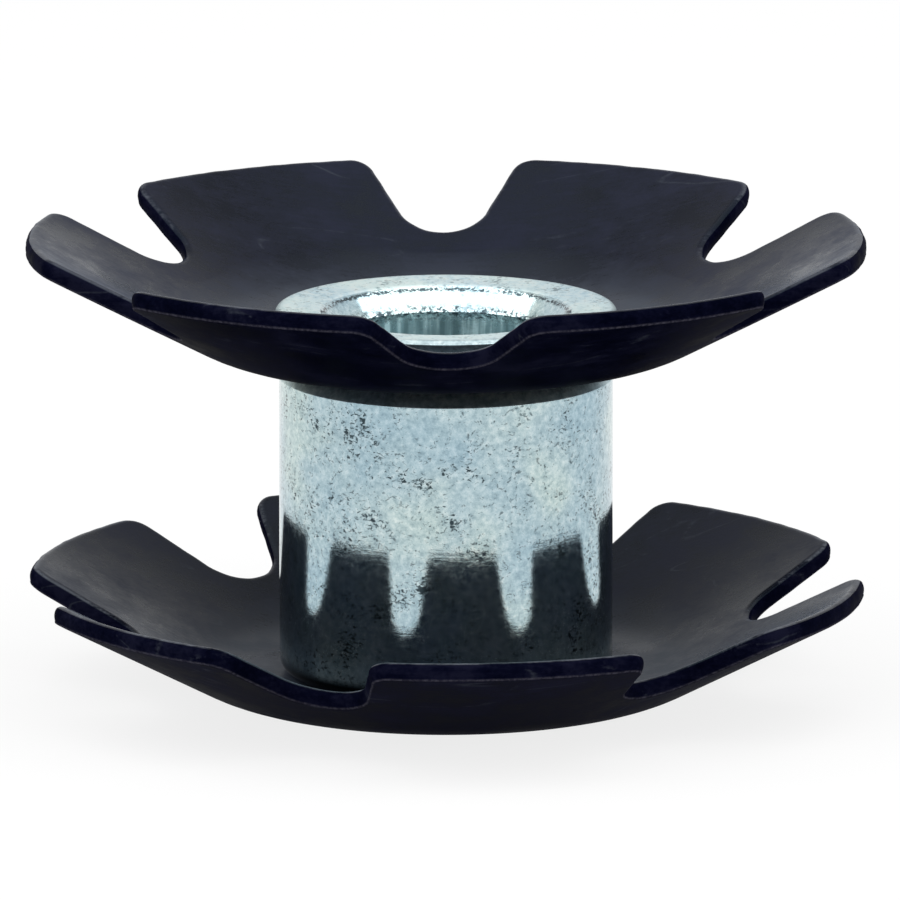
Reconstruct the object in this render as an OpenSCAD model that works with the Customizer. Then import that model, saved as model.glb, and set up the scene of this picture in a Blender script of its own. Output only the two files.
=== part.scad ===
// Star nut: a threaded barrel with a dished six-tab spring washer riveted on each end.
// The barrel stands on +Z with its lower rivet rim on z = 0. All sizes are in millimetres.

/* [Star washers] */
// Diameter over the tab ends, at the lower edge of the sheared end faces
washer_od = 27.2; // [25.8:0.1:28.6]
// Thickness of the spring steel sheet
sheet_t = 0.6; // [0.4:0.05:0.8]
// Angle at which the tabs rise from the flat ring
dish_angle = 28; // [20:1:34]
// Radius at which the flat ring and the tabs would meet in a sharp fold, on the upper face
fold_r = 7.2; // [6.8:0.05:7.6]
// Bend radius of the fold, on the upper face
bend_r = 4; // [1:0.25:4.5]
// Width of a tab between its parallel sides
tab_w = 8.4; // [7.6:0.1:8.8]
// Radius at the bottom of the notch between two tabs
notch_r = 1.5; // [1:0.1:1.7]
// Radius of the two outer corners of a tab
tab_corner_r = 0.6; // [0.3:0.05:0.8]
// Height from one washer to the same place on the other
washer_pitch = 11.15; // [8:0.05:16]
// Turn of the upper washer about the barrel, from a tab on +X
upper_turn = 0.5; // [-30:0.5:30]
// Turn of the lower washer about the barrel, from a tab on +X
lower_turn = 39; // [0:0.5:60]

/* [Barrel] */
// Outer diameter of the barrel between the washers
barrel_d = 10.8; // [10:0.1:11.2]
// Diameter of the necks that pass through the washers
neck_d = 8.8; // [8.4:0.1:9.2]
// Radial play of the punched washer holes on the necks
hole_play = 0.05; // [0.02:0.01:0.15]
// Rounding of the lower shoulder, over the lower washer
shoulder_round = 0.6; // [0.1:0.05:0.7]
// Height of the bevel that leads up to the upper shoulder
bevel_h = 0.75; // [0.2:0.05:1.4]
// Width of that bevel
bevel_w = 0.5; // [0.1:0.05:0.7]
// Diameter of the flared upper rivet rim
upper_rim_d = 11.05; // [10.4:0.05:11.6]
// Height of the upper rivet rim over the washer
upper_rim_h = 0.9; // [0.6:0.05:1.2]
// Diameter of the lower rivet rim
lower_rim_d = 10.4; // [9.8:0.1:11]
// Height of the lower rivet rim under the washer
lower_rim_h = 0.3; // [0.25:0.05:0.6]
// Rounding of the outer edges of the two rivet rims
rim_round = 0.2; // [0.1:0.05:0.22]

/* [Thread] */
// Core diameter of the M6 thread
bore_d = 5; // [4.9:0.05:5.2]
// Diameter of the smooth counterbore above the thread
mouth_d = 6.8; // [6.3:0.1:7]
// Depth of the counterbore from the top of the rim
mouth_depth = 2; // [1.2:0.1:3]
// Bell-mouth radius at the top of the counterbore, where the end was flared over the washer
bell_r = 0.9; // [0.3:0.05:1]
// Depth of the lead chamfer at the lower end of the thread
lead_chamfer = 0.6; // [0.3:0.05:0.8]

/* [Hidden] */
$fn = 96;
tabs = 6;
// Overlap of a cutter past the metal
slack = 1;
// Small angle at which a bend or a round meets the faces that it joins
crease = 4;
// Flat left on a shoulder beside the neck, which limits the shoulder's round or bevel
seat_land = 0.1;

// Dished profile, measured from the upper face of the flat ring
hole_r = neck_d / 2 + hole_play;
end_r = washer_od / 2 - sheet_t * sin(dish_angle);
end_z = (end_r - fold_r) * tan(dish_angle);
bend_reach = bend_r * cos(crease);
bend_centre = [fold_r - bend_reach * tan(dish_angle / 2), bend_reach];

// Notch between two tabs: its sides follow the parallel sides of the tabs, seen from above
half_pitch = 180 / tabs;
notch_reach = notch_r * cos(crease);
notch_half_angle = atan(tan(half_pitch) * cos(dish_angle));
notch_apex_gap = notch_reach / sin(notch_half_angle);
notch_centre_r = tab_w / 2 / sin(half_pitch) + notch_apex_gap * cos(dish_angle);
notch_centre_z = (notch_centre_r - fold_r) * tan(dish_angle);

// Outer corner of a tab in the plane of the notch, u outwards along the sheet and v across
corner_turn = half_pitch - asin(tab_w / 2 / end_r);
corner_u = (end_r * cos(corner_turn) - notch_centre_r) * cos(dish_angle)
    + (end_r - notch_centre_r) * tan(dish_angle) * sin(dish_angle);
corner_v = (corner_u + notch_apex_gap) * tan(notch_half_angle);
edge_turn = atan(tan(corner_turn) * cos(dish_angle));
corner_reach = tab_corner_r * cos(crease);
corner_run = corner_reach / tan((90 + notch_half_angle - edge_turn) / 2);

// Levels of the stack from the lower rim upwards
lower_seat = lower_rim_h;
lower_shoulder = lower_seat + sheet_t;
upper_shoulder = lower_seat + washer_pitch;
upper_seat = upper_shoulder + sheet_t;
barrel_top = upper_seat + upper_rim_h;
thread_top = barrel_top - mouth_depth - (mouth_d - bore_d) / 2;

// Round and bevel of the shoulders, as far as the shoulders' width allows
shoulder_reach = (barrel_d - neck_d) / 2 - seat_land;
shoulder_fillet = min(shoulder_round, shoulder_reach);
bevel_r = barrel_d / 2 - min(bevel_w, shoulder_reach);

// Wedge of the section between the two ends of the bend, out to a face at the given reach
module bend_wedge(reach) {
    function at(r, turn) = bend_centre + r * [sin(turn), -cos(turn)];
    polygon([bend_centre,
        at(reach, 0),
        at(reach / cos(dish_angle / 2), dish_angle / 2),
        at(reach, dish_angle)]);
}

// Half section of the sheet with a sharp fold, square at the end of the tab
module folded_section() {
    polygon([[hole_r, 0],
        [fold_r, 0],
        [end_r, end_z],
        [washer_od / 2, end_z - sheet_t * cos(dish_angle)],
        [fold_r + sheet_t * tan(dish_angle / 2), -sheet_t],
        [hole_r, -sheet_t]]);
}

// Section of a wedge of the bend, outside a radius about the bend's centre
module bend_section(reach, radius) {
    difference() {
        bend_wedge(reach);
        translate(bend_centre) circle(r = radius);
    }
}

// Notch outline in the plane of the sheet: round bottom, flaring sides, rounded tab corners
module notch_outline() {
    foot = notch_reach * [-sin(notch_half_angle), cos(notch_half_angle)];
    side_end = [corner_u, corner_v] - corner_run * [cos(notch_half_angle), sin(notch_half_angle)];
    edge_end = [corner_u, corner_v] + corner_run * [-sin(edge_turn), cos(edge_turn)];
    centre = side_end + corner_reach * [-sin(notch_half_angle), cos(notch_half_angle)];
    mouth_end = edge_end + [slack, 0];
    circle(r = notch_r);
    difference() {
        for (side = [0, 1]) mirror([0, side])
            polygon([[foot[0], 0], foot, side_end, edge_end, mouth_end, [mouth_end[0], 0]]);
        for (side = [0, 1]) mirror([0, side]) translate(centre) circle(r = tab_corner_r);
    }
}

// Star washer with the upper face of its flat ring on z = 0 and a tab on +X
module star_washer() {
    difference() {
        union() {
            rotate_extrude() folded_section();
            rotate_extrude() bend_section(bend_reach + sheet_t / 2, bend_r);
        }
        rotate_extrude() bend_section(bend_reach + sheet_t + slack, bend_r + sheet_t / cos(crease));
        for (i = [0 : tabs - 1])
            rotate((i + 0.5) * 360 / tabs)
                translate([notch_centre_r, 0, notch_centre_z])
                    rotate([0, -dish_angle, 0])
                        linear_extrude(height = 2 * (sheet_t + slack), center = true) notch_outline();
    }
}

// Waste outside a rounded edge of radius r, the edge at the origin and the metal towards -X -Y
module edge_waste(r) {
    difference() {
        translate([-r, -r]) square([r + slack, r]);
        translate([-r, -r]) circle(r = r);
    }
}

// Half section of the barrel before its edges are rounded
module barrel_profile() {
    polygon([[bore_d / 2 + lead_chamfer, 0],
        [lower_rim_d / 2, 0],
        [lower_rim_d / 2, lower_seat],
        [neck_d / 2, lower_seat],
        [neck_d / 2, lower_shoulder],
        [barrel_d / 2, lower_shoulder],
        [barrel_d / 2, upper_shoulder - bevel_h],
        [bevel_r, upper_shoulder],
        [neck_d / 2, upper_shoulder],
        [neck_d / 2, upper_seat],
        [upper_rim_d / 2, upper_seat],
        [upper_rim_d / 2, barrel_top],
        [mouth_d / 2, barrel_top],
        [mouth_d / 2, barrel_top - mouth_depth],
        [bore_d / 2, thread_top],
        [bore_d / 2, lead_chamfer]]);
}

// Zinc-plated barrel: threaded sleeve with two shoulders, two necks and two rivet rims
module barrel() {
    color("#b9c2c6") rotate_extrude() difference() {
        barrel_profile();
        translate([upper_rim_d / 2, barrel_top]) edge_waste(rim_round);
        translate([mouth_d / 2, barrel_top]) mirror([1, 0]) edge_waste(bell_r);
        translate([lower_rim_d / 2, 0]) mirror([0, 1]) edge_waste(rim_round);
        translate([barrel_d / 2, lower_shoulder]) mirror([0, 1]) edge_waste(shoulder_fillet);
    }
}

// Washer under the upper rim
module upper_star_washer() {
    color("#26282f") translate([0, 0, upper_seat]) rotate(upper_turn) star_washer();
}

// Washer over the lower rim
module lower_star_washer() {
    color("#26282f") translate([0, 0, lower_shoulder]) rotate(lower_turn) star_washer();
}

barrel();
upper_star_washer();
lower_star_washer();
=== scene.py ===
import bpy
import numpy as np
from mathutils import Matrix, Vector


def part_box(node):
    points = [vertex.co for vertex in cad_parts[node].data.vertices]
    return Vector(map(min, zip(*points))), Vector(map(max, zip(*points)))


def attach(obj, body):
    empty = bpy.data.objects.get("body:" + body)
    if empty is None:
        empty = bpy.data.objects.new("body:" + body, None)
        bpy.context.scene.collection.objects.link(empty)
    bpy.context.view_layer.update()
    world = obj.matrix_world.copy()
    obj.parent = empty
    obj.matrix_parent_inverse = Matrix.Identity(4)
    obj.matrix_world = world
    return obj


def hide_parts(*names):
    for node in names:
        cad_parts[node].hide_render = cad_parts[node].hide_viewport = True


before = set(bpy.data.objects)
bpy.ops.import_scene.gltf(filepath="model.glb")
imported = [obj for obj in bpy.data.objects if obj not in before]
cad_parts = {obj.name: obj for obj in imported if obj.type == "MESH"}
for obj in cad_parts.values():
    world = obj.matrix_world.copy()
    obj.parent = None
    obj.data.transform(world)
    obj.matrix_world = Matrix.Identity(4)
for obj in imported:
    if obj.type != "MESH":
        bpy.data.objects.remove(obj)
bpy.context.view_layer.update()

# Barrel
# A sleeve turned from steel bar, tapped M6 and bright zinc plated. Each end is turned down to a neck
# that passes through a washer, and is flared over it as a rivet rim; the upper end has a bell mouth.

mm = 0.001
sheet_t = 0.6 * mm
upper_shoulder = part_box("upper_star_washer")[0].z
upper_seat = upper_shoulder + sheet_t
lower_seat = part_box("lower_star_washer")[0].z
lower_shoulder = lower_seat + sheet_t
barrel_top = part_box("barrel")[1].z
upper_rim_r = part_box("barrel")[1].x
lower_rim_r = 5.2 * mm
barrel_r = 5.4 * mm
neck_r = 4.4 * mm
bevel_h = 0.75 * mm
bevel_w = 0.5 * mm
lip_fall = 0.09 * mm
bell_r = 4.04 * mm
bell_depth = 0.85 * mm
bell_foot = barrel_top - bell_depth
mouth_r = 3.4 * mm
mouth_depth = 2.0 * mm
mouth_floor = barrel_top - mouth_depth
core_r = 2.5 * mm
lead_chamfer = 0.6 * mm
thread_top = mouth_floor - (mouth_r - core_r)
thread_pitch = 1.0 * mm
thread_minor_r = 2.459 * mm
thread_major_r = 3.0 * mm
groove_half_bottom = 1 / 16
groove_half_top = 3 / 8
fine_round = 0.05 * mm
soft_round = 0.1 * mm
mouth_round = 0.2 * mm
bell_foot_round = 0.06 * mm
bell_round = 0.5 * mm
upper_rim_round = 0.18 * mm
shoulder_round = 0.6 * mm
lower_rim_round = 0.2 * mm


def rounded_section(edges, steps=10):
    """Closed section with an arc at each corner. Each edge gives a corner's radius from the axis, its height
    and its round. The arc is tangent to both sides, its centre lies on the bisector, and its points turn
    evenly from one side to the other."""
    corner = edges[:, :2]
    radius = edges[:, 2:]
    back = np.roll(corner, 1, 0) - corner
    ahead = np.roll(corner, -1, 0) - corner
    back /= np.linalg.norm(back, axis=1, keepdims=True)
    ahead /= np.linalg.norm(ahead, axis=1, keepdims=True)
    half = 0.5 * np.arccos(np.clip((back * ahead).sum(1, keepdims=True), -1, 1))
    bisector = (back + ahead) / np.linalg.norm(back + ahead, axis=1, keepdims=True)
    centre = corner + bisector * radius / np.sin(half)
    start = corner + back * radius / np.tan(half) - centre
    end = corner + ahead * radius / np.tan(half) - centre
    turn = np.pi - 2 * half
    share = np.linspace(0, 1, steps)[:, None, None]
    arc = centre + (start * np.sin((1 - share) * turn) + end * np.sin(share * turn)) / np.sin(turn)
    return arc.transpose(1, 0, 2).reshape(-1, 2)


def with_points(section, spacing, fine_spacing, fine_spans):
    """The closed section with further points along its length: one every spacing, and one every fine_spacing
    inside the given spans, which are shares of the whole length. A point less than a micrometre past the one
    before it is left out."""
    least_gap = 0.001 * mm
    loop = np.vstack([section, section[:1]])
    length = np.concatenate([[0], np.cumsum(np.linalg.norm(np.diff(loop, axis=0), axis=1))])
    total = length[-1]
    stations = [length[:-1], np.arange(0, total, spacing)]
    stations += [np.arange(a * total, b * total, fine_spacing) for a, b in fine_spans]
    station = np.unique(np.round(np.concatenate(stations), 9))
    station = station[np.concatenate([[True], np.diff(station) > least_gap])]
    return np.stack([np.interp(station, length, loop[:, i]) for i in (0, 1)], 1)


def closed_mesh(name, points):
    """Mesh of a grid of points that closes on itself both ways. Each cell is a quad, and the quads are turned
    outwards by the sign of the volume that they hold."""
    rows, columns = points.shape[:2]
    index = np.arange(rows * columns).reshape(rows, columns)
    across = np.roll(index, -1, 1)
    quads = np.stack([index, across, np.roll(across, -1, 0), np.roll(index, -1, 0)], -1).reshape(-1, 4)
    flat = points.reshape(-1, 3)
    a, b, c, d = (flat[quads[:, i]] for i in range(4))
    volume = (a * np.cross(b, c)).sum() + (a * np.cross(c, d)).sum()
    if volume < 0:
        quads = quads[:, ::-1]
    mesh = bpy.data.meshes.new(name)
    mesh.from_pydata(flat, [], quads)
    mesh.shade_smooth()
    piece = bpy.data.objects.new(name, mesh)
    bpy.context.scene.collection.objects.link(piece)
    return piece


def threaded_radius(angle, z):
    """Radius of the M6 thread: the minor radius plus a groove that widens from an eighth of the pitch at its
    bottom to three quarters at its top, and climbs one pitch in each turn."""
    phase = np.mod(z / thread_pitch - angle / (2 * np.pi), 1)
    from_top = groove_half_top - np.abs(phase - 0.5)
    depth = np.clip(from_top / (groove_half_top - groove_half_bottom), 0, 1)
    return thread_minor_r + (thread_major_r - thread_minor_r) * depth


# The section runs up the thread, over the rim and down the outside. The thread lies in its first stretch
# and its last, where the points are close enough for the groove.
barrel_edges = np.array([
    (core_r, lead_chamfer, fine_round),
    (core_r, thread_top, fine_round),
    (mouth_r, mouth_floor, mouth_round),
    (mouth_r, bell_foot, bell_foot_round),
    (bell_r, barrel_top - lip_fall, bell_round),
    (upper_rim_r, barrel_top, upper_rim_round),
    (upper_rim_r, upper_seat, soft_round),
    (neck_r, upper_seat, fine_round),
    (neck_r, upper_shoulder, fine_round),
    (barrel_r - bevel_w, upper_shoulder, fine_round),
    (barrel_r, upper_shoulder - bevel_h, soft_round),
    (barrel_r, lower_shoulder, shoulder_round),
    (neck_r, lower_shoulder, fine_round),
    (neck_r, lower_seat, fine_round),
    (lower_rim_r, lower_seat, fine_round),
    (lower_rim_r, 0, lower_rim_round),
    (core_r + lead_chamfer, 0, soft_round)])
row_gap = 0.35 * mm
thread_row_gap = 0.07 * mm
thread_spans = [(0, 0.23), (0.98, 1)]
barrel_columns = 192
barrel_section = with_points(rounded_section(barrel_edges), row_gap, thread_row_gap, thread_spans)
barrel_angle = np.linspace(0, 2 * np.pi, barrel_columns, endpoint=False)
section_r = np.repeat(barrel_section[:, :1], barrel_columns, 1)
section_z = np.repeat(barrel_section[:, 1:], barrel_columns, 1)
thread_r = threaded_radius(barrel_angle[None, :], section_z)
section_r = np.where(section_r < thread_major_r, np.maximum(section_r, thread_r), section_r)
barrel = closed_mesh("zinc_barrel", np.stack(
    [section_r * np.cos(barrel_angle), section_r * np.sin(barrel_angle), section_z], -1))

# Zones of the barrel that its plate reads as attributes, each a share from 0 to 1: the bore below the bell,
# the peened lip, the bevel, the smooth bell, the foot where shade is painted, the scuffed rim and the bell's
# two torn edges.
zone_fade = 0.1 * mm
bore_inset = 0.2 * mm
lip_inset = 0.05 * mm
lip_depth = 0.12 * mm
bell_inset = 0.15 * mm
bell_rise = 0.1 * mm
scuff_w = 0.22 * mm
scuff_depth = 0.25 * mm
foot_shade_h = 0.9 * mm
foot_shade_fade = 0.5 * mm
shoulder_slack = 0.01 * mm
torn_lip_r = 3.95 * mm
torn_lip_w = 0.05 * mm
torn_lip_depth = 0.4 * mm
torn_foot_w = 0.06 * mm
torn_foot_share = 0.7
in_bore = np.clip((bell_foot - section_z) / zone_fade, 0, 1) * (section_r < neck_r - bore_inset)
on_lip = (section_r > bell_r - lip_inset) & (section_z > barrel_top - lip_depth)
on_bevel = (section_z > upper_shoulder - bevel_h) & (section_z < upper_shoulder) & (section_r > neck_r)
on_bell = (section_z > bell_foot + bell_rise) & (section_r < bell_r - bell_inset)
on_rim = np.clip((section_r - upper_rim_r + scuff_w) / zone_fade, 0, 1)
on_rim = on_rim * (section_z > barrel_top - scuff_depth)
# Painted shade: the plate darkens towards the lower shoulder, in the corner that the lower washer shades.
foot = np.clip((lower_shoulder + foot_shade_h - section_z) / foot_shade_fade, 0, 1)
foot = foot * (section_z > lower_shoulder - shoulder_slack) * (section_r > neck_r)
torn_lip = np.exp(-((section_r - torn_lip_r) / torn_lip_w) ** 2) * (section_z > barrel_top - torn_lip_depth)
torn_foot = torn_foot_share * np.exp(-((section_z - bell_foot) / torn_foot_w) ** 2) * (section_r < bell_r)
zones = {"in_bore": in_bore, "lip": on_lip, "bevel": on_bevel, "bell": on_bell, "foot": foot, "rim": on_rim,
         "ragged": torn_lip + torn_foot}
for kind, share in zones.items():
    values = share.astype(np.float32).ravel()
    barrel.data.attributes.new(kind, "FLOAT", "POINT").data.foreach_set("value", values)


def srgb(code):
    """Linear colour of an sRGB hex value, with alpha 1."""
    value = np.array([int(code[i:i + 2], 16) for i in (1, 3, 5)]) / 255
    return (*np.where(value <= 0.04045, value / 12.92, ((value + 0.055) / 1.055) ** 2.4), 1.0)


def add(tree, kind, links=None, stops=(), **settings):
    """Adds a node. Settings are the node's own attributes; links map an input's name or number to a socket,
    which is joined, or to a value, which is set; stops are a colour ramp's positions and hex colours.
    A colour Mix has its two colours at inputs 6 and 7 and its result at output 2."""
    node = tree.nodes.new(kind)
    for key, value in settings.items():
        setattr(node, key, value)
    for key, value in (links or {}).items():
        if isinstance(value, bpy.types.NodeSocket):
            tree.links.new(value, node.inputs[key])
        else:
            node.inputs[key].default_value = value
    for i, (position, code) in enumerate(stops):
        element = node.color_ramp.elements[i] if i < 2 else node.color_ramp.elements.new(position)
        element.position = position
        element.color = srgb(code)
    return node


# Bright zinc plate on turned steel: a pale bluish mirror, finely mottled, with dark pits, short hair lines
# and nicks that crowd together in places. The peened lip is duller and scuffed at its outer edge, the bell
# and the bevel are cleaner, and the plate is thin and streaked in the bore. A painted shade darkens the
# lower corner by the lower washer.
zinc = bpy.data.materials.new("bright_zinc_plate")
zinc.use_nodes = True
tree = zinc.node_tree
shader = tree.nodes["Principled BSDF"]
place = add(tree, "ShaderNodeTexCoord").outputs["Object"]
zone = {kind: add(tree, "ShaderNodeAttribute", attribute_name=kind).outputs["Fac"] for kind in zones}

# Nicks and lathe rings are finer on such parts than the render can show, so these two are drawn coarser.
# The other sizes are matched to the marks in the photograph.
nick_size = 0.10 * mm
ring_size = 0.10 * mm
mottle_size = 0.22 * mm
pit_spacing = 0.28 * mm
hair_size = 0.9 * mm
crowd_size = 1.3 * mm
tone_size = 3.5 * mm
streak_size = 0.35 * mm
mottle = add(tree, "ShaderNodeTexNoise",
             {"Vector": place, "Scale": 1 / mottle_size, "Detail": 5.0, "Roughness": 0.7})
grain = mottle.outputs["Fac"]
tone = add(tree, "ShaderNodeTexNoise",
           {"Vector": place, "Scale": 1 / tone_size, "Detail": 2.0}).outputs["Fac"]
crowd = add(tree, "ShaderNodeTexNoise",
            {"Vector": place, "Scale": 1 / crowd_size, "Detail": 3.0}).outputs["Fac"]

# Pits: a dot in some cells of a scatter that the mottle shakes. A pit's reach is given by the crowding, by
# the cell's own random shade and by the lip, where there are more of them.
pit_shake = 0.16 * mm
pit_crowding = 1.1
pit_rarity = 0.82
pit_variety = 0.45
lip_pits = 0.13
pit_contrast = 9.0
shaken = add(tree, "ShaderNodeVectorMath", {0: mottle.outputs["Color"], 1: (pit_shake,) * 3, 2: place},
             operation="MULTIPLY_ADD").outputs[0]
scatter = add(tree, "ShaderNodeTexVoronoi", {"Vector": shaken, "Scale": 1 / pit_spacing})
pit_reach = -pit_rarity
for share, gain in ((crowd, pit_crowding), (scatter.outputs["Color"], pit_variety), (zone["lip"], lip_pits)):
    pit_reach = add(tree, "ShaderNodeMath", {0: share, 1: gain, 2: pit_reach},
                    operation="MULTIPLY_ADD").outputs[0]
pit = add(tree, "ShaderNodeMath", {0: pit_reach, 1: scatter.outputs["Distance"]},
          operation="SUBTRACT").outputs[0]
pit = add(tree, "ShaderNodeMath", {0: pit, 1: pit_contrast}, operation="MULTIPLY", use_clamp=True).outputs[0]

# Nicks: the peaks of a fine noise, drawn out along the lathe marks, more of them where the pits crowd.
nick_stretch = (0.7, 0.7, 1.0)
nick_crowding = 0.9
nick_rarity = 1.09
nick_contrast = 8.0
along_nick = add(tree, "ShaderNodeMapping", {"Vector": place, "Scale": nick_stretch}).outputs["Vector"]
nicks = add(tree, "ShaderNodeTexNoise",
            {"Vector": along_nick, "Scale": 1 / nick_size, "Detail": 2.0, "Roughness": 0.6,
             "Distortion": 0.7}).outputs["Fac"]
nick_floor = add(tree, "ShaderNodeMath", {0: crowd, 1: -nick_crowding, 2: nick_rarity},
                 operation="MULTIPLY_ADD").outputs[0]
nick = add(tree, "ShaderNodeMath", {0: nicks, 1: nick_floor}, operation="SUBTRACT").outputs[0]
nick = add(tree, "ShaderNodeMath", {0: nick, 1: nick_contrast},
           operation="MULTIPLY", use_clamp=True).outputs[0]

# Hair lines: where a broad wandering noise crosses its mean, cut to short lengths by the nicks' noise.
noise_mean = 0.5
hair = add(tree, "ShaderNodeTexNoise",
           {"Vector": place, "Scale": 1 / hair_size, "Detail": 3.0, "Distortion": 0.8}).outputs["Fac"]
hair = add(tree, "ShaderNodeMath", {0: hair, 1: noise_mean}, operation="SUBTRACT").outputs[0]
hair = add(tree, "ShaderNodeMath", {0: hair}, operation="ABSOLUTE").outputs[0]
hair = add(tree, "ShaderNodeMapRange",
           {"Value": hair, "From Min": 0.0, "From Max": 0.035, "To Min": 1.0, "To Max": 0.0}).outputs[0]
hair_length = add(tree, "ShaderNodeMapRange",
                  {"Value": nicks, "From Min": 0.52, "From Max": 0.60, "To Min": 0.0,
                   "To Max": 0.8}).outputs[0]
hair = add(tree, "ShaderNodeMath", {0: hair, 1: hair_length}, operation="MULTIPLY").outputs[0]

# Torn edges of the bell: the nicks' noise again, where the flaring tool tore the plate.
tear_floor = 0.40
tear_contrast = 10.0
tear = add(tree, "ShaderNodeMath", {0: nicks, 1: tear_floor}, operation="SUBTRACT").outputs[0]
tear = add(tree, "ShaderNodeMath", {0: tear, 1: zone["ragged"]}, operation="MULTIPLY").outputs[0]
tear = add(tree, "ShaderNodeMath", {0: tear, 1: tear_contrast},
           operation="MULTIPLY", use_clamp=True).outputs[0]

# All marks together, fainter on the lip and nearly gone on the bevel, on the bell and in the bore.
mark = add(tree, "ShaderNodeMath", {0: pit, 1: nick}, operation="MAXIMUM").outputs[0]
mark = add(tree, "ShaderNodeMath", {0: mark, 1: hair}, operation="MAXIMUM").outputs[0]
faint = 1.0
for kind, loss in (("lip", 0.35), ("bevel", 0.8), ("bell", 0.85), ("in_bore", 0.8)):
    faint = add(tree, "ShaderNodeMath", {0: zone[kind], 1: -loss, 2: faint},
                operation="MULTIPLY_ADD").outputs[0]
mark = add(tree, "ShaderNodeMath", {0: mark, 1: faint}, operation="MULTIPLY").outputs[0]
mark = add(tree, "ShaderNodeMath", {0: mark, 1: tear}, operation="MAXIMUM").outputs[0]

# Colour: the mottled plate under a broad change of tone, then the lip, the bore, the marks, the rim and the
# painted shade at the foot.
peened_grey = srgb("#b2bab9")
mark_grey = srgb("#37444a")
scuff_grey = srgb("#7a878a")
# Near black of the painted shade in the corner at the foot.
foot_shade_black = srgb("#131a1d")
streak_stretch = (1.0, 1.0, 0.08)
plate = add(tree, "ShaderNodeValToRGB", {0: grain},
            stops=[(0.30, "#97abb3"), (0.5, "#bbcdd2"), (0.70, "#dbe6e8")]).outputs["Color"]
shade = add(tree, "ShaderNodeValToRGB", {0: tone},
            stops=[(0.36, "#dde9f0"), (0.5, "#eff5f6"), (0.62, "#fdfff8")]).outputs["Color"]
toned = add(tree, "ShaderNodeMix", {0: 1.0, 6: plate, 7: shade},
            data_type="RGBA", blend_type="MULTIPLY").outputs[2]
peened = add(tree, "ShaderNodeMapRange",
             {"Value": grain, "From Min": 0.35, "From Max": 0.65, "To Min": 0.0, "To Max": 0.8}).outputs[0]
peened = add(tree, "ShaderNodeMath", {0: zone["lip"], 1: peened}, operation="MULTIPLY").outputs[0]
pale = add(tree, "ShaderNodeMix", {0: peened, 6: toned, 7: peened_grey}, data_type="RGBA").outputs[2]
down_bore = add(tree, "ShaderNodeMapping", {"Vector": place, "Scale": streak_stretch}).outputs["Vector"]
streaks = add(tree, "ShaderNodeTexNoise",
              {"Vector": down_bore, "Scale": 1 / streak_size, "Detail": 3.0}).outputs["Fac"]
drawn = add(tree, "ShaderNodeValToRGB", {0: streaks},
            stops=[(0.38, "#6d8286"), (0.52, "#8fa4a8"), (0.64, "#c9d8da")]).outputs["Color"]
thin = add(tree, "ShaderNodeMix", {0: zone["in_bore"], 6: pale, 7: drawn}, data_type="RGBA").outputs[2]
marked = add(tree, "ShaderNodeMix", {0: mark, 6: thin, 7: mark_grey}, data_type="RGBA").outputs[2]
scuffed = add(tree, "ShaderNodeMapRange",
              {"Value": grain, "From Min": 0.35, "From Max": 0.65, "To Min": 0.9, "To Max": 0.4}).outputs[0]
scuffed = add(tree, "ShaderNodeMath", {0: zone["rim"], 1: scuffed}, operation="MULTIPLY").outputs[0]
rimmed = add(tree, "ShaderNodeMix", {0: scuffed, 6: marked, 7: scuff_grey}, data_type="RGBA").outputs[2]
# Painted shade: the plate goes to near black at the foot, in the corner by the lower washer.
colour = add(tree, "ShaderNodeMix", {0: zone["foot"], 6: rimmed, 7: foot_shade_black}, data_type="RGBA").outputs[2]

# Roughness and relief: a mirror that the mottle and the lathe rings break up, rougher where it is marked.
ring_stretch = (0.1, 0.1, 1.0)
ring_share = 0.5
plate_relief = 0.0025 * mm
along_lathe = add(tree, "ShaderNodeMapping", {"Vector": place, "Scale": ring_stretch}).outputs["Vector"]
rings = add(tree, "ShaderNodeTexNoise",
            {"Vector": along_lathe, "Scale": 1 / ring_size, "Detail": 2.0}).outputs["Fac"]
rough = add(tree, "ShaderNodeMapRange",
            {"Value": grain, "From Min": 0.3, "From Max": 0.7, "To Min": 0.06, "To Max": 0.13}).outputs[0]
for share, extra in ((mark, 0.08), (zone["in_bore"], 0.2), (zone["lip"], 0.4), (zone["bevel"], 0.25)):
    rough = add(tree, "ShaderNodeMath", {0: share, 1: extra, 2: rough}, operation="MULTIPLY_ADD").outputs[0]
height = add(tree, "ShaderNodeMath", {0: rings, 1: ring_share, 2: grain}, operation="MULTIPLY_ADD").outputs[0]
bump = add(tree, "ShaderNodeBump", {"Strength": 1.0, "Distance": plate_relief, "Height": height}).outputs[0]
tree.links.new(colour, shader.inputs["Base Color"])
tree.links.new(rough, shader.inputs["Roughness"])
tree.links.new(bump, shader.inputs["Normal"])
shader.inputs["Metallic"].default_value = 1.0
barrel.data.materials.append(zinc)
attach(barrel, "root")
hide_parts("barrel")

# Upper star washer
# A six-tab star blanked from black spring steel and pressed to a dish, so that its sheared edges stand about
# square to the sheet. It lies on the barrel's upper shoulder and is held there by the flared rim.

washer_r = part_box("upper_star_washer")[1].x
hole_play = 0.05 * mm
hole_r = neck_r + hole_play
dish_angle = np.radians(28)
fold_r = 7.2 * mm
bend_r = 4.0 * mm
bend_start = fold_r - bend_r * np.tan(dish_angle / 2)
bend_end = bend_start + bend_r * np.sin(dish_angle)
tabs = 6
half_pitch = np.pi / tabs
tab_half_w = 4.2 * mm
tip_half_w = 4.38 * mm
notch_r = 1.5 * mm
tab_corner_r = 0.8 * mm
roll_over = 0.2 * mm
burr_round = 0.08 * mm
hole_round = 0.05 * mm
fracture_taper = 0.12 * mm
end_r = washer_r - sheet_t * np.sin(dish_angle) + fracture_taper
shear_wave = 0.03 * mm
shear_counts = (37, 61, 97, 143)
upper_turn = np.radians(0.5)


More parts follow.
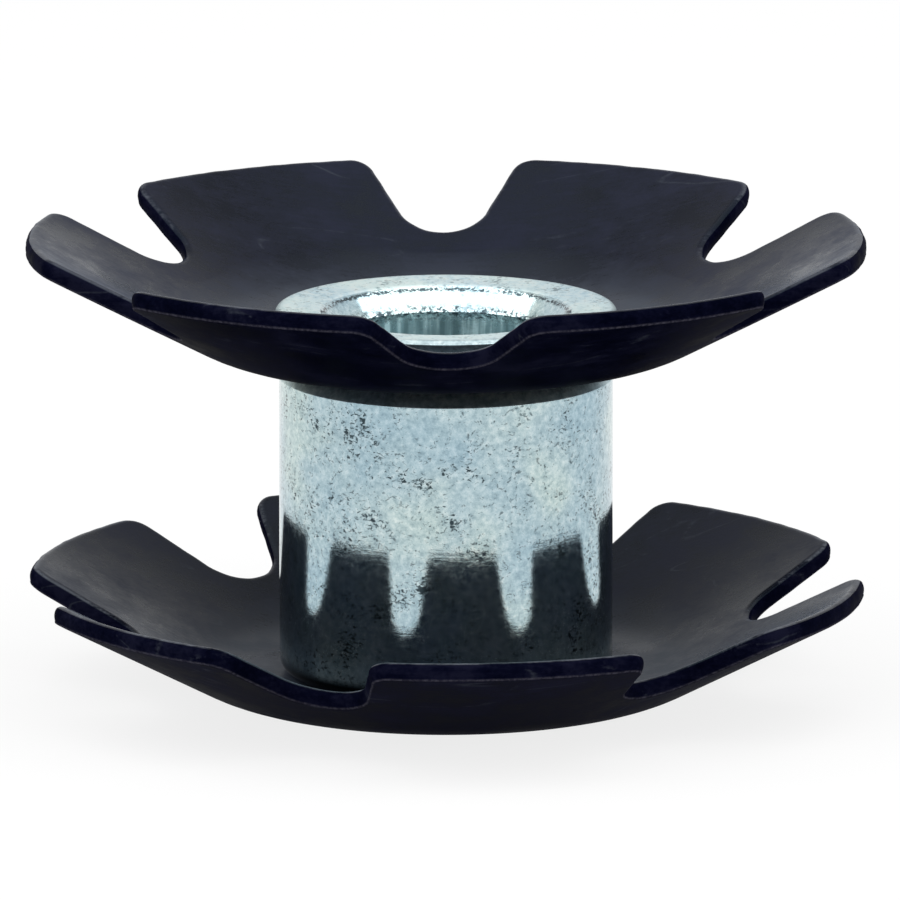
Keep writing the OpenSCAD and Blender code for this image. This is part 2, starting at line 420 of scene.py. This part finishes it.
def dish(r):
    """Height and slope of the washer's upper face at radius r: a flat ring, then an arc of the bend radius,
    then a straight cone."""
    slope = np.arcsin(np.clip((r - bend_start) / bend_r, 0, np.sin(dish_angle)))
    height = bend_r * (1 - np.cos(slope)) + np.maximum(r - bend_end, 0) * np.tan(dish_angle)
    return height, slope


def star_outline(turn, end_points=16, corner_points=9, side_points=12, notch_points=12):
    """Outline of the star seen from above, anticlockwise, with a tab at the given turn. Half a tab is its end
    arc, a corner arc, a side that falls in a little to the notch and half of the notch's round, which is a
    circle in the sloping sheet; the other half mirrors it, and the tab is turned about the axis six times."""
    corner_y = tip_half_w - tab_corner_r
    corner_x = np.sqrt((end_r - tab_corner_r) ** 2 - corner_y ** 2)
    corner_turn = np.arctan2(corner_y, corner_x)
    end = np.linspace(0, corner_turn, end_points, endpoint=False)
    end_arc = end_r * np.stack([np.cos(end), np.sin(end)], 1)
    corner = np.linspace(corner_turn, np.pi / 2, corner_points)
    corner_arc = [corner_x, corner_y] + tab_corner_r * np.stack([np.cos(corner), np.sin(corner)], 1)
    flare = np.arctan(np.tan(half_pitch) * np.cos(dish_angle))
    notch_x = tab_half_w / np.sin(half_pitch) + notch_r / np.sin(flare) * np.cos(dish_angle)
    sweep = np.linspace(np.pi / 2 + flare, np.pi, notch_points)
    along = notch_x + notch_r * np.cos(dish_angle) * np.cos(sweep)
    across = -notch_r * np.sin(sweep)
    notch_arc = np.stack([along * np.cos(half_pitch) - across * np.sin(half_pitch),
                          along * np.sin(half_pitch) + across * np.cos(half_pitch)], 1)
    share = np.linspace(0, 1, side_points + 2)[1:-1, None]
    side = corner_arc[-1] * (1 - share) + notch_arc[0] * share
    half = np.vstack([end_arc, corner_arc, side, notch_arc])
    tab = np.vstack([half[::-1] * [1, -1], half[1:-1]])
    angle = turn + 2 * half_pitch * np.arange(tabs)[:, None]
    x = tab[:, 0] * np.cos(angle) - tab[:, 1] * np.sin(angle)
    y = tab[:, 0] * np.sin(angle) + tab[:, 1] * np.cos(angle)
    return np.stack([x.ravel(), y.ravel()], 1)


def star_washer(name, turn, ring_top, seed, edge_highlight_share):
    """Washer as a grid. Columns follow the outline; rows run over the upper face from the hole to the
    outline, around the sheared edge and back over the lower face. Each row is a plan curve at a depth below
    the upper face, measured along the sheet's normal. A sum of sines along the outline, shifted by the seed,
    makes the shearing uneven. The last argument, from 0 to 1, is how strongly a highlight is painted along
    the rolled-over edge."""
    flat_rows = np.array([0.0, 0.15, 0.5, 1.0, 1.4]) * mm
    bend_rows = 9
    cone_rows = np.array([0.3, 0.8]) * mm
    tab_rows = 10
    torn_rows = 3
    round_rows = 7
    satin_roll_rows = 4
    face_margin = 1.3 * roll_over
    # Painted sheen: the flat ring and the bend are lighter than the cone, fading out over the start of the
    # cone.
    ring_sheen_reach = np.array([-0.6, 0.0, 1.0]) * mm
    ring_sheen_share = [1.0, 0.5, 0.1]
    edge_highlight_end = 1.0

    outline = star_outline(turn)
    step = np.roll(outline, -1, 0) - outline
    length = np.linalg.norm(step, axis=1, keepdims=True)
    tangent = step / length
    tangent = tangent + np.roll(tangent, 1, 0)
    tangent /= np.linalg.norm(tangent, axis=1, keepdims=True)
    outward = np.stack([tangent[:, 1], -tangent[:, 0]], 1)
    run = np.concatenate([[0], np.cumsum(length[:-1, 0])]) * 2 * np.pi / length.sum()
    wave = sum(np.sin(n * run + seed * n) for n in shear_counts) / (2 * len(shear_counts)) + 0.5
    outline = outline - outward * (shear_wave * wave)[:, None]
    azimuth = np.arctan2(outline[:, 1], outline[:, 0])
    heading = np.stack([np.cos(azimuth), np.sin(azimuth)], 1)

    quarter = np.linspace(0, np.pi / 2, round_rows)
    rings = np.concatenate([hole_r + hole_round + flat_rows, np.linspace(bend_start, bend_end, bend_rows),
                            bend_end + cone_rows])
    rim = outline - outward * face_margin
    share = np.linspace(0, 1, tab_rows + 1)[1:, None, None]
    face = np.concatenate([rings[:, None, None] * heading, rings[-1] * heading * (1 - share) + rim * share])
    rolled = outline - outward * (roll_over * (1 - np.sin(quarter)))[:, None, None]
    rolled_depth = roll_over * (1 - np.cos(quarter))
    fall = np.linspace(0, 1, torn_rows + 2)[1:-1]
    torn = outline - outward * (fracture_taper * fall ** 2)[:, None, None]
    torn_depth = roll_over + fall * (sheet_t - burr_round - roll_over)
    burr = outline - outward * (fracture_taper + burr_round * (1 - np.cos(quarter)))[:, None, None]
    burr_depth = sheet_t - burr_round * (1 - np.sin(quarter))
    collar = hole_r + hole_round * (1 - np.sin(quarter[1:]))
    collar_depth = hole_round * (1 - np.cos(quarter[1:]))
    collar_rows = collar[:, None, None] * heading
    plan = np.concatenate([face, rolled, torn, burr, face[::-1], collar_rows, collar_rows[::-1]])
    depth = np.concatenate([np.zeros(len(face)), rolled_depth, torn_depth, burr_depth,
                            np.full(len(face), sheet_t), sheet_t - collar_depth, collar_depth[::-1]])
    radius = np.linalg.norm(plan, axis=2)
    height, slope = dish(radius)
    reach = radius + depth[:, None] * np.sin(slope)
    points = np.concatenate([plan * (reach / radius)[..., None],
                             (ring_top + height - depth[:, None] * np.cos(slope))[..., None]], -1)
    washer = closed_mesh(name, points)

    roll_start = len(face)
    torn_start = roll_start + len(rolled)
    burr_start = torn_start + len(torn)
    # Three shares of painted light: a highlight along the burr, a sheen over the flat ring and the bend, and
    # a highlight along the rolled-over edge.
    burr_highlight, ring_sheen, edge_highlight = np.zeros((3, len(plan)))
    # Painted highlight along the burr at the foot of the sheared edge.
    burr_highlight[burr_start:burr_start + len(burr)] = np.sin(2 * quarter) ** 2
    ring_sheen[:len(rings)] = np.interp(rings, bend_end + ring_sheen_reach, ring_sheen_share)
    # Painted highlight along the upper part of the rolled-over edge.
    edge_highlight[roll_start:torn_start] = edge_highlight_share * np.sin(2 * quarter) ** 2 * (quarter < edge_highlight_end)
    for kind, rows in (("burr_highlight", burr_highlight), ("ring_sheen", ring_sheen), ("edge_highlight", edge_highlight)):
        values = np.repeat(rows, len(outline)).astype(np.float32)
        washer.data.attributes.new(kind, "FLOAT", "POINT").data.foreach_set("value", values)
    dull = np.arange(len(plan)) >= roll_start + satin_roll_rows
    washer.data.polygons.foreach_set("material_index", np.repeat(dull, len(outline)).astype(np.int32))
    return washer


upper_washer = star_washer("upper_star", upper_turn, upper_seat, seed=1.0, edge_highlight_share=0.2)

# The grain of such an oxide and the marks of the rolling mill are too fine for the render, so both are drawn
# coarser. The patches and scratches are matched to the photograph.
oxide_grain = 0.12 * mm
oxide_roll = 0.15 * mm
oxide_patch = 2.2 * mm
oxide_scratch = 1.5 * mm
oxide_relief = 0.02 * mm


def black_oxide(name, gloss, film, smooth, coarse):
    """Black oxide on spring steel: a thin blue-black skin, nearly black when faced and grey when seen along
    the sheet, cloudy where it was handled, with faint scratches. Painted light is laid on it: a painted sheen
    on the ring inside the fold, a painted highlight along the burr and a painted highlight along the
    rolled-over edge. Gloss is the specular level, film the weight of the sheen, and smooth and coarse the
    ends of the roughness."""
    roll_stretch = (0.05, 1.0, 1.0)
    roll_share = 0.35
    grain_share = 0.25
    scratch_stretch = (0.15, 1.0, 1.0)
    scratch_turn = (0.0, 0.0, 0.6)
    scratch_grey = srgb("#32363d")
    # The next three greys are painted light: a sheen on the ring inside the fold, a highlight along the burr
    # and a highlight along the rolled-over edge.
    ring_sheen_grey = srgb("#2d3139")
    burr_highlight_grey = srgb("#37363f")
    edge_highlight_grey = srgb("#7d8289")
    material = bpy.data.materials.new(name)
    material.use_nodes = True
    tree = material.node_tree
    shader = tree.nodes["Principled BSDF"]
    place = add(tree, "ShaderNodeTexCoord").outputs["Object"]
    burr_highlight = add(tree, "ShaderNodeAttribute", attribute_name="burr_highlight").outputs["Fac"]
    ring_sheen = add(tree, "ShaderNodeAttribute", attribute_name="ring_sheen").outputs["Fac"]
    edge_highlight = add(tree, "ShaderNodeAttribute", attribute_name="edge_highlight").outputs["Fac"]

    # Skin: the patches, the rolling marks and the grain make one cloud, which shades the black.
    grain = add(tree, "ShaderNodeTexNoise",
                {"Vector": place, "Scale": 1 / oxide_grain, "Detail": 4.0, "Roughness": 0.6}).outputs["Fac"]
    patch = add(tree, "ShaderNodeTexNoise",
                {"Vector": place, "Scale": 1 / oxide_patch, "Detail": 5.0, "Roughness": 0.6}).outputs["Fac"]
    along_roll = add(tree, "ShaderNodeMapping", {"Vector": place, "Scale": roll_stretch}).outputs["Vector"]
    rolled = add(tree, "ShaderNodeTexNoise",
                 {"Vector": along_roll, "Scale": 1 / oxide_roll, "Detail": 3.0,
                  "Roughness": 0.6}).outputs["Fac"]
    cloud = patch
    for share, gain in ((rolled, roll_share), (grain, grain_share)):
        cloud = add(tree, "ShaderNodeMath", {0: share, 1: gain, 2: cloud},
                    operation="MULTIPLY_ADD").outputs[0]
    skin = add(tree, "ShaderNodeValToRGB", {0: cloud},
               stops=[(0.66, "#02030e"), (0.8, "#060716"), (0.96, "#101120")]).outputs["Color"]

    # Scratches: where a stretched noise crosses its mean, broken up by the cloud.
    across = add(tree, "ShaderNodeMapping",
                 {"Vector": place, "Rotation": scratch_turn, "Scale": scratch_stretch}).outputs["Vector"]
    scratch = add(tree, "ShaderNodeTexNoise",
                  {"Vector": across, "Scale": 1 / oxide_scratch, "Detail": 1.0}).outputs["Fac"]
    scratch = add(tree, "ShaderNodeMath", {0: scratch, 1: noise_mean}, operation="SUBTRACT").outputs[0]
    scratch = add(tree, "ShaderNodeMath", {0: scratch}, operation="ABSOLUTE").outputs[0]
    scratch = add(tree, "ShaderNodeMapRange",
                  {"Value": scratch, "From Min": 0.0, "From Max": 0.012, "To Min": 0.5,
                   "To Max": 0.0}).outputs[0]

    # Each kind of mark shows in its own zone, and more or less of it as the cloud or the grain says. The
    # scratches are wear; the lighter ring inside the fold is painted sheen, and the lines along the burr and
    # along the rolled-over edge are painted highlights.
    broken = add(tree, "ShaderNodeMapRange",
                 {"Value": cloud, "From Min": 0.8, "From Max": 0.95, "To Min": 0.0, "To Max": 1.0}).outputs[0]
    ring_sheen_patchiness = add(tree, "ShaderNodeMapRange",
                  {"Value": cloud, "From Min": 0.72, "From Max": 0.92, "To Min": 0.6,
                   "To Max": 1.0}).outputs[0]
    burr_highlight_patchiness = add(tree, "ShaderNodeMapRange",
               {"Value": grain, "From Min": 0.4, "From Max": 0.62, "To Min": 0.3, "To Max": 1.0}).outputs[0]
    # How much of the painted highlight along the rolled-over edge shows, as the cloud says.
    torn = add(tree, "ShaderNodeMapRange",
               {"Value": cloud, "From Min": 0.78, "From Max": 0.92, "To Min": 0.05, "To Max": 1.0}).outputs[0]
    wear_and_painted_light = ((scratch, broken, scratch_grey), (ring_sheen, ring_sheen_patchiness, ring_sheen_grey), (burr_highlight, burr_highlight_patchiness, burr_highlight_grey),
             (edge_highlight, torn, edge_highlight_grey))
    for where, amount, grey in wear_and_painted_light:
        share = add(tree, "ShaderNodeMath", {0: where, 1: amount}, operation="MULTIPLY").outputs[0]
        skin = add(tree, "ShaderNodeMix", {0: share, 6: skin, 7: grey}, data_type="RGBA").outputs[2]
    rough = add(tree, "ShaderNodeMapRange",
                {"Value": cloud, "From Min": 0.65, "From Max": 0.95, "To Min": smooth,
                 "To Max": coarse}).outputs[0]
    bump = add(tree, "ShaderNodeBump",
               {"Strength": 0.15, "Distance": oxide_relief, "Height": grain}).outputs[0]
    tree.links.new(skin, shader.inputs["Base Color"])
    tree.links.new(rough, shader.inputs["Roughness"])
    tree.links.new(bump, shader.inputs["Normal"])
    shader.inputs["Specular IOR Level"].default_value = gloss
    shader.inputs["Specular Tint"].default_value = srgb("#bce5ff")
    shader.inputs["Sheen Weight"].default_value = film
    shader.inputs["Sheen Roughness"].default_value = 0.3
    shader.inputs["Sheen Tint"].default_value = srgb("#93b2d8")
    return material


# The upper face and the start of its rolled-over edge are satin; the rest of the edge and the lower face
# are dull.
satin_oxide = black_oxide("satin_black_oxide", gloss=0.068, film=0.115, smooth=0.22, coarse=0.44)
dull_oxide = black_oxide("dull_black_oxide", gloss=0.0015, film=0.0, smooth=0.4, coarse=0.55)
upper_washer.data.materials.append(satin_oxide)
upper_washer.data.materials.append(dull_oxide)
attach(upper_washer, "root")
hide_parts("upper_star_washer")

# Lower star washer
# The same blanking as the upper one, the same way up and turned 38.5 degrees against it. It is passed over
# the lower neck against the shoulder and held by the low rim below.

lower_turn = np.radians(39)
lower_washer = star_washer("lower_star", lower_turn, lower_shoulder, seed=2.3, edge_highlight_share=0.4)
lower_washer.data.materials.append(satin_oxide)
lower_washer.data.materials.append(dull_oxide)
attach(lower_washer, "root")
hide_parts("lower_star_washer")

# Floor and light
# A plain white table under a soft box overhead and to the front, in a white surround. The floor's own glow
# keeps it white in the picture and in the plate's reflections, and still lets the shadow show.

floor_half = 3.0
glow_share = 0.82
surround_light = 0.3
surround_shown = 1.0
box_width = 2.2
box_depth = 1.07
box_place = (0, -0.315, 0.4)
box_radiance = 1.95
white = srgb("#ffffff")
floor_mesh = bpy.data.meshes.new("floor")
floor_mesh.from_pydata([(-floor_half, -floor_half, 0), (floor_half, -floor_half, 0),
                        (floor_half, floor_half, 0), (-floor_half, floor_half, 0)], [], [(0, 1, 2, 3)])
floor = bpy.data.objects.new("floor", floor_mesh)
bpy.context.scene.collection.objects.link(floor)


def seen_directly(tree):
    """A share of 1 for rays that show a surface to the eye, straight, in a mirror or through glass, and of 0
    for rays that only carry its light."""
    ray = add(tree, "ShaderNodeLightPath").outputs
    seen = ray["Is Camera Ray"]
    for kind in ("Is Glossy Ray", "Is Transmission Ray"):
        seen = add(tree, "ShaderNodeMath", {0: seen, 1: ray[kind]}, operation="MAXIMUM").outputs[0]
    return seen


# White paper: matt, and lit from within only for the eye.
paper = bpy.data.materials.new("white_paper")
paper.use_nodes = True
tree = paper.node_tree
tree.nodes.remove(tree.nodes["Principled BSDF"])
shown = add(tree, "ShaderNodeMath", {0: seen_directly(tree), 1: glow_share}, operation="MULTIPLY").outputs[0]
matte = add(tree, "ShaderNodeBsdfDiffuse", {"Color": srgb("#dddddd")}).outputs[0]
glow = add(tree, "ShaderNodeEmission", {"Color": white, "Strength": 1.0}).outputs[0]
sheet = add(tree, "ShaderNodeMixShader", {0: shown, 1: matte, 2: glow}).outputs[0]
tree.links.new(sheet, tree.nodes["Material Output"].inputs["Surface"])
floor_mesh.materials.append(paper)

surround = bpy.data.worlds.new("white_surround")
surround.use_nodes = True
bpy.context.scene.world = surround
tree = surround.node_tree
strength = add(tree, "ShaderNodeMapRange",
               {"Value": seen_directly(tree), "From Min": 0.0, "From Max": 1.0, "To Min": surround_light,
                "To Max": surround_shown}).outputs[0]
sky = tree.nodes["Background"]
sky.inputs["Color"].default_value = white
tree.links.new(strength, sky.inputs["Strength"])

# The soft box faces straight down. Its power is pi times its area times its radiance.
lamp = bpy.data.lights.new("overhead", "AREA")
lamp.shape = "RECTANGLE"
lamp.size = box_width
lamp.size_y = box_depth
lamp.energy = np.pi * box_width * box_depth * box_radiance
overhead = bpy.data.objects.new("overhead", lamp)
overhead.location = box_place
bpy.context.scene.collection.objects.link(overhead)

# Camera
# The photograph is a long-lens product shot from a little above the upper washer. The focal length is given
# in pixels of the square photograph.

photo_px = 900
focal_px = 15728
sensor_mm = 36
camera_elevation = np.radians(11.9)
camera_distance = 0.509
camera_aim = np.array([0.13, 0, 8.22]) * mm
camera_back = np.array([0, -np.cos(camera_elevation), np.sin(camera_elevation)])
camera_data = bpy.data.cameras.new("camera")
camera_data.sensor_width = sensor_mm
camera_data.lens = sensor_mm * focal_px / photo_px
camera_data.clip_start = 0.05
camera_data.clip_end = 20
camera = bpy.data.objects.new("camera", camera_data)
camera.location = camera_aim + camera_distance * camera_back
camera.rotation_euler = (np.pi / 2 - camera_elevation, 0, 0)
bpy.context.scene.collection.objects.link(camera)
bpy.context.scene.camera = camera
bpy.context.scene.view_settings.view_transform = "Standard"
